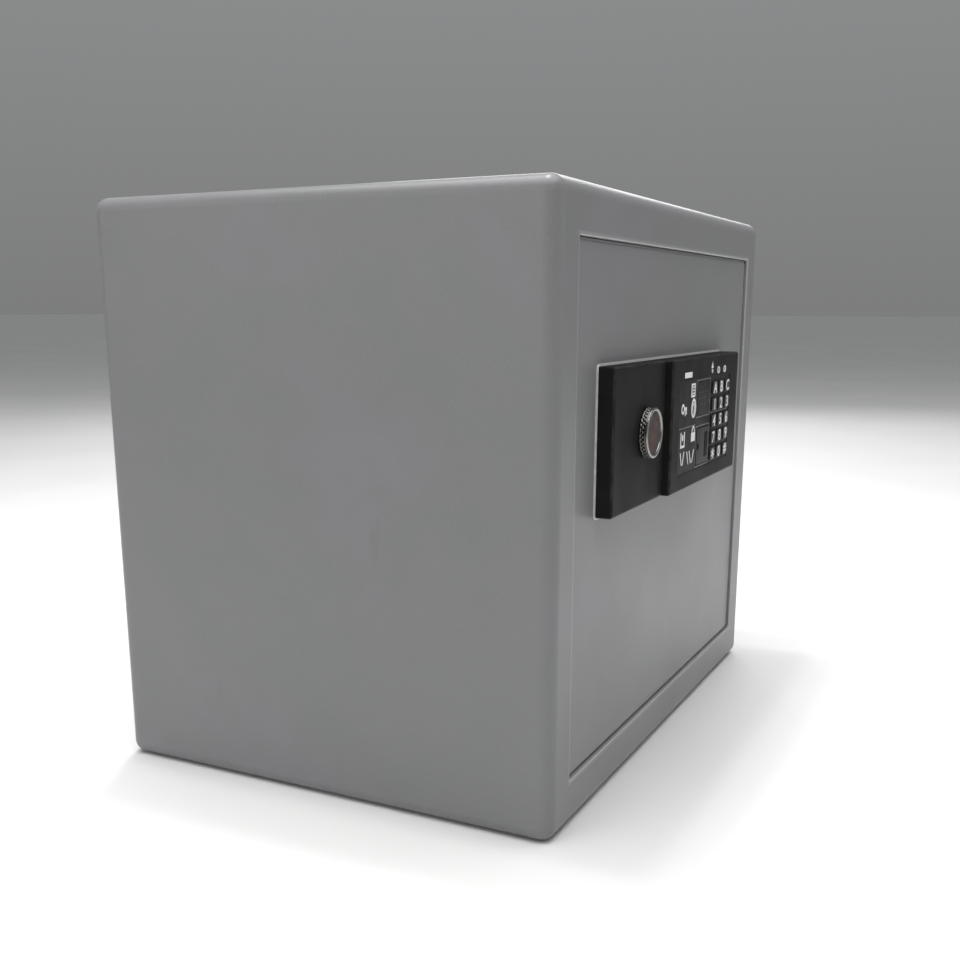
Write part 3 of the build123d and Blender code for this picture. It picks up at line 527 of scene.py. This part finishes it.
# Grey ink for the fascia's lines, partly a painted highlight standing in for light on raised frame edges.
grey_ink_and_highlight = ink("grey_ink_and_highlight", (0.16, 0.16, 0.16), (0.08, 0.08, 0.08))
ghost_ink = ink("ghost_ink", (0.03, 0.03, 0.034), (0.02, 0.02, 0.022))
# Pale grey gasket rubber; its light colour is partly a painted highlight for the bright line along the
# keypad case's top edge.
gasket_rubber_and_highlight = rubber("gasket_rubber_and_highlight", (0.62, 0.62, 0.61), (0.72, 0.72, 0.71))
silicone = rubber("silicone", (0.3, 0.3, 0.31), (0.36, 0.36, 0.37))
mat_felt = felt()

NODE_FINISH = {
    "body_shell": body_coat(), "door_panel": door_coat(), "door_frame": inside_coat, "shelf": inside_coat,
    "lock_chassis": inside_coat, "lock_cover": inside_coat, "hinge_brackets": zinc, "hinge_blocks": zinc,
    "hinge_pins": turned, "shelf_pegs": zinc, "floor_mat": mat_felt, "cover_screws": screw_steel,
    "case_screws": screw_steel, "knob_housing": case_black, "keypad_housing": case_black,
    "case_gasket": gasket_rubber_and_highlight, "keypad_fascia": film, "display_window": window,
    "display_module": holder_black, "indicator_lights": lens_plastic(), "keypad_membrane": silicone,
    "circuit_board": circuit_green(), "spindle_bush": brass, "solenoid_frame": zinc,
    "solenoid_coil": coil_tape(), "solenoid_plunger": turned, "lock_barrel": brass, "lock_plug": brass,
    "lock_tail": zinc, "emergency_cover": window, "battery_holder": holder_black, "batteries": cell_sleeve(),
    "battery_contacts": turned, "battery_cover": holder_black, "reset_button": button_red(),
    "reset_switch": holder_black, "flat_cable": ribbon_film(), "knob_ring": knob_chrome,
    "knob_cap": face_paint, "knob_spindle": turned, "knob_cam": zinc, "bolt_carrier": zinc,
    "locking_bolts": bolt_chrome, "bolt_nuts": zinc,
    **{key: key_black for key in KEYS},
}


def paint_nodes():
    for name, node in nodes.items():
        node.data.materials.clear()
        node.data.materials.append(NODE_FINISH[name])


# ---- Pieces ----------------------------------------------------------------------------------------------

def make_piece(name, mesh, material, body, smooth=False):
    piece = bpy.data.objects.new(name, mesh)
    bpy.context.scene.collection.objects.link(piece)
    mesh.materials.clear()
    mesh.materials.append(material)
    if smooth:
        mesh.shade_smooth()
    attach(piece, body)
    return piece


def mesh_of(name, verts, faces):
    mesh = bpy.data.meshes.new(name)
    mesh.from_pydata(verts, [], faces)
    mesh.update()
    return mesh


class Print:
    """Flat shapes a hair proud of a plane that faces -Y, drawn in x and z from a corner."""

    def __init__(self, y, corner=(0.0, 0.0), unit=1.0, thickness=PRINT_THICKNESS):
        self.y = y
        self.corner = corner
        self.unit = unit
        self.thickness = thickness
        self.centre = (0.0, 0.0)
        self.verts = []
        self.faces = []

    def at(self, x, z):
        """Draws what follows round another point."""
        self.centre = (x, z)
        return self

    def polygon(self, points):
        """One filled convex outline, anticlockwise as seen from the front."""
        start, count = len(self.verts), len(points)
        places = [(self.corner[0] + (self.centre[0] + x) * self.unit,
                   self.corner[1] + (self.centre[1] + z) * self.unit) for x, z in points]
        self.verts += [(x, self.y - self.thickness, z) for x, z in places]
        self.verts += [(x, self.y, z) for x, z in places]
        self.faces.append([start + i for i in range(count)])
        self.faces.append([start + count + i for i in reversed(range(count))])
        for i in range(count):
            j = (i + 1) % count
            self.faces.append([start + j, start + i, start + count + i, start + count + j])
        return self

    def bar(self, a, b, width):
        """A straight stroke from a to b."""
        a, b = Vector(a), Vector(b)
        side = (b - a).normalized().orthogonal() * width / 2
        return self.polygon([tuple(p) for p in (a - side, b - side, b + side, a + side)][::-1])

    def box(self, x0, x1, z0, z1):
        return self.polygon([(x0, z0), (x1, z0), (x1, z1), (x0, z1)])

    def disc(self, x, z, rx, rz, sides):
        turn = [2 * math.pi * i / sides for i in range(sides)]
        return self.polygon([(x + rx * math.cos(a), z + rz * math.sin(a)) for a in turn])

    def arc(self, x, z, rx, rz, width, start=0.0, end=360.0, steps=28):
        """A stroke along part of an ellipse, between two angles in degrees."""
        angles = [math.radians(start + (end - start) * i / steps) for i in range(steps + 1)]
        for a, b in zip(angles, angles[1:]):
            inner, outer = (rx - width, rz - width), (rx, rz)
            corners = [(inner, a), (outer, a), (outer, b), (inner, b)]
            self.polygon([(x + r[0] * math.cos(t), z + r[1] * math.sin(t)) for r, t in corners])
        return self

    def frame(self, x0, x1, z0, z1, width):
        self.box(x0, x1, z0, z0 + width).box(x0, x1, z1 - width, z1)
        return self.box(x0, x0 + width, z0 + width, z1 - width).box(x1 - width, x1, z0 + width, z1 - width)

    def mesh(self, name):
        return mesh_of(name, self.verts, self.faces)


def text_mesh(text, size, depth, bold, stretch):
    """A mesh of upright text that faces -Y, centred on the origin."""
    curve = bpy.data.curves.new("text", "FONT")
    curve.body = text
    curve.size = size
    curve.extrude = depth
    curve.offset = bold
    curve.align_x, curve.align_y = "CENTER", "CENTER"
    holder = bpy.data.objects.new("text", curve)
    bpy.context.scene.collection.objects.link(holder)
    bpy.context.view_layer.update()
    mesh = bpy.data.meshes.new_from_object(holder.evaluated_get(bpy.context.evaluated_depsgraph_get()))
    bpy.data.objects.remove(holder)
    xs = [v.co.x for v in mesh.vertices]
    ys = [v.co.y for v in mesh.vertices]
    middle = Vector(((min(xs) + max(xs)) / 2, (min(ys) + max(ys)) / 2, 0))
    mesh.transform(Matrix.Translation(-middle))
    mesh.transform(Matrix.Diagonal((stretch, 1, 1, 1)))
    mesh.transform(Matrix.Rotation(math.pi / 2, 4, "X"))
    return mesh


def make_legends():
    """A bold legend on each key cap."""
    for key, legend in zip(KEYS, LEGENDS):
        lo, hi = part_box(key)
        size = STAR_SIZE if legend == "*" else LEGEND_SIZE
        mesh = text_mesh(legend, size, LEGEND_DEPTH, LEGEND_BOLD, LEGEND_STRETCH)
        proud = 0.01 * MM
        mesh.transform(Matrix.Translation(((lo.x + hi.x) / 2, lo.y - proud, (lo.z + hi.z) / 2)))
        make_piece(f"legend_{key}", mesh, white_ink, key)


def make_pictograms():
    """Generic working pictograms, drawn in millimetres from the fascia's lower left corner."""
    lo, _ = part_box("keypad_fascia")
    white = Print(lo.y, (lo.x, lo.z), MM)

    white.at(30.5, 52.4)                      # keypad
    white.frame(-4.6, 4.6, -4.4, 4.4, 1.3)
    for column in (-1, 0, 1):
        for row in (-1, 0, 1):
            white.disc(column * 2.1, row * 2.0, 0.8, 0.8, 10)

    white.at(32.5, 40.8)                      # dial with a turning arrow inside
    white.arc(0, 0, 5.2, 6.4, 2.1)
    white.arc(0, 0, 2.4, 3.5, 1.1, -60, 210)
    white.polygon([(-0.2, -3.7), (2.6, -3.0), (0.7, -0.8)])

    white.at(11.5, 40.2)                      # hand key
    white.arc(-2.6, 1.6, 3.3, 3.3, 1.5)
    white.box(0.4, 5.6, 0.7, 2.5)
    white.box(1.6, 3.0, -3.0, 0.8)
    white.box(4.0, 5.6, -2.2, 0.8)

    white.at(10.4, 22.2)                      # open door
    white.box(-4.6, -3.0, -5.0, 5.0)
    white.box(-3.0, 3.0, -5.0, -3.4)
    white.box(3.0, 4.6, -5.0, 5.0)
    white.disc(0, 1.4, 1.5, 2.2, 18)

    white.at(33.6, 23.8)                      # closed padlock
    white.box(-4.4, 4.4, -4.6, 1.2)
    white.arc(0, 1.2, 3.3, 4.4, 1.4, 0, 180, 14)

    # Slanted step marks: place along the fascia, height, lean
    for x, z, lean in (
        (8.0, 10.2, 1.6), (13.0, 10.2, -1.4), (22.6, 9.6, 1.9), (28.0, 9.6, 2.1), (34.6, 9.6, -1.7),
    ):
        white.at(x, z).bar((lean, -4.2), (-lean, 4.2), 1.3)
    make_piece("fascia_pictograms", white.mesh("fascia_pictograms"), white_ink, "door")


def make_fascia_lines():
    """Thin dividing lines on the fascia and plain frames round its two windows, printed grey: partly a
    painted highlight for light on raised frame edges.
    """
    lo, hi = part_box("keypad_fascia")
    left_line_z, left_line_end, left_half = 29.6 * MM, 38 * MM, 0.25 * MM
    key_line_z, key_line_start, key_half = 34.45 * MM, 74 * MM, 0.22 * MM
    margin, edge, stroke = 2 * MM, 1.5 * MM, 0.6 * MM
    grey = Print(lo.y)
    z = lo.z + left_line_z
    grey.box(lo.x + margin, lo.x + left_line_end, z - left_half, z + left_half)
    z = lo.z + key_line_z
    grey.box(lo.x + key_line_start, hi.x - margin, z - key_half, z + key_half)
    for node in ("display_window", "emergency_cover"):
        pane_lo, pane_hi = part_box(node)
        grey.frame(pane_lo.x - edge, pane_hi.x + edge, pane_lo.z - edge, pane_hi.z + edge, stroke)
    make_piece("fascia_lines", grey.mesh("fascia_lines"), grey_ink_and_highlight, "door")


def make_housing_print():
    """Plain label bar and the marks by the indicator lights, on the housing above the fascia."""
    left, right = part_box("indicator_lights")
    lens_radius = 1.5
    corner_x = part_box("keypad_fascia")[0].x
    mark = Print(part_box("keypad_housing")[0].y, (corner_x, (left.z + right.z) / 2), MM)
    mark.box(9, 25, -1.7, 1.7)                # label bar
    first, last = (left.x - corner_x) / MM + lens_radius, (right.x - corner_x) / MM - lens_radius
    mark.at(first, 0).polygon([(-2.6, 1.9), (2.6, 1.9), (0, 6.4)])
    for x in ((first + last) / 2, last):      # rings round the other two lights
        mark.at(x, 0).arc(0, 0, 3.6, 2.4, 0.8)
    make_piece("housing_marks", mark.mesh("housing_marks"), white_ink, "door")


def make_display_digits():
    """Unlit seven-segment digits that show faintly through the display window."""
    lo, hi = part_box("display_window")
    digits = Print(lo.y, (lo.x, (lo.z + hi.z) / 2), MM)
    width, height, stroke = 4.4, 9.0, 0.8
    first, pitch = 4.6, 6.4
    for place in range(4):
        digits.at(first + place * pitch, 0)
        for level in (-1, 0, 1):
            z = level * (height - stroke) / 2
            digits.box(stroke - width / 2, width / 2 - stroke, z - stroke / 2, z + stroke / 2)
        for side in (-1, 1):
            for end in (-1, 1):
                x = side * (width - stroke) / 2
                z0, z1 = sorted((end * stroke, end * (height / 2 - stroke)))
                digits.box(x - stroke / 2, x + stroke / 2, z0, z1)
    make_piece("display_digits", digits.mesh("display_digits"), ghost_ink, "door")


def make_cover_ribs():
    """Low grip ribs down the right side of the emergency lock's cover."""
    lo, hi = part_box("emergency_cover")
    ribs = Print(lo.y, (hi.x, lo.z), MM, RIB_THICKNESS)
    height, margin = (hi.z - lo.z) / MM, 4
    first, pitch, half = 3.0, 1.7, 0.35
    for place in range(4):
        x = -first - place * pitch
        ribs.box(x - half, x + half, margin, height - margin)
    mesh = ribs.mesh("emergency_cover_ribs")
    make_piece("emergency_cover_ribs", mesh, window, "emergency_cover")


def ring_faces(rings, around, far_end=True):
    """Faces of a skin over rings of points, closed at the first ring, and at the last one if far_end."""
    faces = []
    for ring in range(rings - 1):
        for step in range(around):
            a, b = ring * around + step, ring * around + (step + 1) % around
            faces.append((a, b, b + around, a + around))
    faces.append(tuple(reversed(range(around))))
    if far_end:
        last = (rings - 1) * around
        faces.append(tuple(range(last, last + around)))
    return faces


def knob_profile(front, back, radius, cap_y):
    """Rows of the knob from back to front: place in y, radius, and whether the row is knurled."""
    knurl_front, knurl_back, rows = front + 1.7 * MM, back - 0.5 * MM, 14
    profile = [(back, radius - 1.4 * MM, False), (back - 0.15 * MM, radius - 0.5 * MM, False)]
    for row in range(rows + 1):
        y = knurl_back + (knurl_front - knurl_back) * row / rows
        profile.append((y, radius - 0.02 * MM, 0 < row < rows))
    # Groove, rim and the slope down to the sunk face: millimetres behind the front and in from the radius
    for behind, inset in (
        (1.5, 0.75), (1.2, 0.75), (1.05, 0.1), (0.5, 0.05), (0.18, 0.25), (0.03, 0.65), (0, 1.2),
        (0.06, 1.75), (0.35, 2.2), (0.9, 2.45),
    ):
        profile.append((front + behind * MM, radius - inset * MM, False))
    profile.append((cap_y, radius - 2.5 * MM, False))
    return profile


def make_knob():
    """The knob: a diamond-knurled grip, a turned groove, and a smooth ring round the sunk face."""
    lo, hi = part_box("knob_ring")
    cx, cz, radius = (lo.x + hi.x) / 2, (lo.z + hi.z) / 2, (hi.x - lo.x) / 2
    diamonds, around, depth = 34, 306, 0.55 * MM
    profile = knob_profile(lo.y, hi.y, radius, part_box("knob_cap")[1].y)
    cut_rows = [row for row, point in enumerate(profile) if point[2]]
    knurl_back = profile[cut_rows[0] - 1][0]      # the knurl's ends are the plain rows beside its cut ones
    pitch = 2 * math.pi * radius / diamonds
    verts = []
    for y, r, knurled in profile:
        along = 2 * math.pi * (y - knurl_back) / pitch
        for i in range(around):
            turn = 2 * math.pi * i / around
            cut = 0.0
            if knurled:
                left, right = math.cos(diamonds * turn + along), math.cos(diamonds * turn - along)
                cut = depth * (1 - math.sqrt((0.5 + 0.5 * left) * (0.5 + 0.5 * right)))
            verts.append((cx + (r - cut) * math.cos(turn), y, cz + (r - cut) * math.sin(turn)))
    mesh = mesh_of("knurled_knob", verts, ring_faces(len(profile), around, far_end=False))
    knob = make_piece("knurled_knob", mesh, knurl_shaded_chrome, "knob", True)
    knob.data.materials.append(knob_chrome)
    first_smooth = (cut_rows[-1] + 2) * around
    for face in knob.data.polygons:
        face.material_index = int(face.index >= first_smooth)
    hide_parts("knob_ring")


def swept_tube(points, radius):
    """Vertices and faces of a round wire along points, closed at both ends."""
    sides = 8
    verts = []
    for index, point in enumerate(points):
        ahead = points[min(index + 1, len(points) - 1)] - points[max(index - 1, 0)]
        side = ahead.orthogonal().normalized() if index == 0 else side - side.project(ahead)
        side.normalize()
        up = ahead.cross(side).normalized()
        for step in range(sides):
            turn = 2 * math.pi * step / sides
            verts.append(point + radius * (math.cos(turn) * side + math.sin(turn) * up))
    return verts, ring_faces(len(points), sides)


def contact_plate(x, y, z, side):
    """A stamped spring plate with rounded corners, its centre pressed out towards the cell."""
    around, plate = 32, 5.0
    # Reach and height of each ring, millimetres
    rings = ((plate, 0.0), (plate, 0.45), (3.0, 0.45), (2.2, 0.9), (0.8, 1.1))
    verts = []
    for reach, height in rings:
        for step in range(around):
            turn = 2 * math.pi * step / around
            out = reach * MM
            if reach == plate:
                out *= (abs(math.cos(turn)) ** 5 + abs(math.sin(turn)) ** 5) ** -0.2
            front = x - side * height * MM
            verts.append(Vector((front, y + out * math.cos(turn), z + out * math.sin(turn))))
    return verts, ring_faces(len(rings), around)


def contact_spring(seat, tip, y, z):
    """A conical coil of wire from its seat to its tip, two places in x."""
    turns, steps, wire = 3.0, 72, 0.27 * MM
    wide, narrow = 4.2 * MM, 2.3 * MM
    path = []
    for step in range(steps + 1):
        part = step / steps
        turn, reach = 2 * math.pi * turns * part, wide + (narrow - wide) * part
        x = seat + (tip - seat) * part
        path.append(Vector((x, y + reach * math.cos(turn), z + reach * math.sin(turn))))
    return swept_tube(path, wire)


def make_contacts():
    """Battery contacts: a stamped plate at each end of every cell, and a coiled spring at its flat end."""
    lo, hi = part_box("battery_contacts")
    cells_lo, cells_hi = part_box("batteries")
    rows = 4
    y, radius = (cells_lo.y + cells_hi.y) / 2, (cells_hi.y - cells_lo.y) / 2
    pitch = (cells_hi.z - cells_lo.z - 2 * radius) / (rows - 1)
    plate_front, bite = 0.75 * MM, 0.3 * MM
    verts, faces = [], []

    def gather(part_verts, part_faces):
        start = len(verts)
        verts.extend(part_verts)
        faces.extend(tuple(start + i for i in face) for face in part_faces)

    for row in range(rows):
        z = cells_lo.z + radius + row * pitch
        sprung_side = 1 if row % 2 else -1
        for side, wall, cell in ((-1, lo.x, cells_lo.x), (1, hi.x, cells_hi.x)):
            gather(*contact_plate(wall, y, z, side))
            if side == sprung_side:
                gather(*contact_spring(wall - side * plate_front, cell + side * bite, y, z))
    mesh = mesh_of("contact_springs", verts, faces)
    cleaner = bmesh.new()
    cleaner.from_mesh(mesh)
    bmesh.ops.recalc_face_normals(cleaner, faces=cleaner.faces)
    cleaner.to_mesh(mesh)
    cleaner.free()
    springs = make_piece("contact_springs", mesh, turned, "door", True)
    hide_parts("battery_contacts")


def mat_grid(lo, hi, step):
    """A flat grid of faces over the mat's outline."""
    mesh = bmesh.new()
    nx, ny = round((hi.x - lo.x) / step), round((hi.y - lo.y) / step)
    bmesh.ops.create_grid(mesh, x_segments=nx, y_segments=ny, size=0.5)
    for v in mesh.verts:
        v.co.x = lo.x + (v.co.x + 0.5) * (hi.x - lo.x)
        v.co.y = lo.y + (v.co.y + 0.5) * (hi.y - lo.y)
    return mesh


def cut_mat(mesh, hi, step):
    """Cuts round holes over the base anchors and rounds the mat's corners."""
    hole_r, corner_r = 9.0 * MM, 6.0 * MM
    anchor_x, anchor_y = 0.130, 0.070
    holes = [Vector((sx * anchor_x, sy * anchor_y, 0)) for sx in (-1, 1) for sy in (-1, 1)]
    cut = [f for f in mesh.faces if any((f.calc_center_median() - h).length < hole_r for h in holes)]
    bmesh.ops.delete(mesh, geom=cut, context="FACES")
    for v in mesh.verts:
        if v.is_boundary:
            for hole in holes:
                away = v.co - hole
                if away.length < hole_r + step:
                    v.co = hole + away.normalized() * hole_r
        past_x, past_y = abs(v.co.x) - (hi.x - corner_r), abs(v.co.y) - (hi.y - corner_r)
        reach = Vector((max(past_x, 0), max(past_y, 0)))
        if reach.length > corner_r:
            excess = reach - reach.normalized() * corner_r
            v.co.x -= math.copysign(excess.x, v.co.x)
            v.co.y -= math.copysign(excess.y, v.co.y)


def make_mat():
    """Felt mat laid on the floor: a close grid, uneven on top, rolled down at its edges and holes."""
    lo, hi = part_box("floor_mat")
    step = 4.0 * MM
    mesh = mat_grid(lo, hi, step)
    cut_mat(mesh, hi, step)
    sunk, rolled = 0.4 * MM, 0.5 * MM
    wide_wave, fine_wave = 0.22 * MM, 0.12 * MM
    rim = {v for v in mesh.verts if v.is_boundary}
    for v in mesh.verts:
        wander = noise.noise(v.co * 60) * wide_wave + noise.noise(v.co * 700) * fine_wave
        v.co.z = hi.z - sunk + wander - (rolled if v in rim else 0)
    edge = [e for e in mesh.edges if e.is_boundary]
    edge_z = hi.z - sunk - rolled
    for drop in (0.5, 1.0):
        made = bmesh.ops.extrude_edge_only(mesh, edges=edge)
        edge = [g for g in made["geom"] if isinstance(g, bmesh.types.BMEdge)]
        for v in {v for e in edge for v in e.verts}:
            v.co.z = edge_z + (lo.z - edge_z) * drop
    bmesh.ops.recalc_face_normals(mesh, faces=mesh.faces)
    data = bpy.data.meshes.new("felt_mat")
    mesh.to_mesh(data)
    mesh.free()
    mat = make_piece("felt_mat", data, mat_felt, "cabinet", True)
    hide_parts("floor_mat")


def make_floor():
    bpy.ops.mesh.primitive_plane_add(size=FLOOR_SIZE, location=(0, 0, -FLOOR_DROP))
    floor = bpy.context.object
    floor.name = "floor"
    floor.data.materials.append(floor_paint())


bpy.context.scene.view_settings.view_transform = "Standard"
make_camera()
make_lights()
make_sky()
make_floor()
paint_nodes()
make_legends()
make_pictograms()
make_fascia_lines()
make_housing_print()
make_display_digits()
make_cover_ribs()
make_knob()
make_contacts()
make_mat()
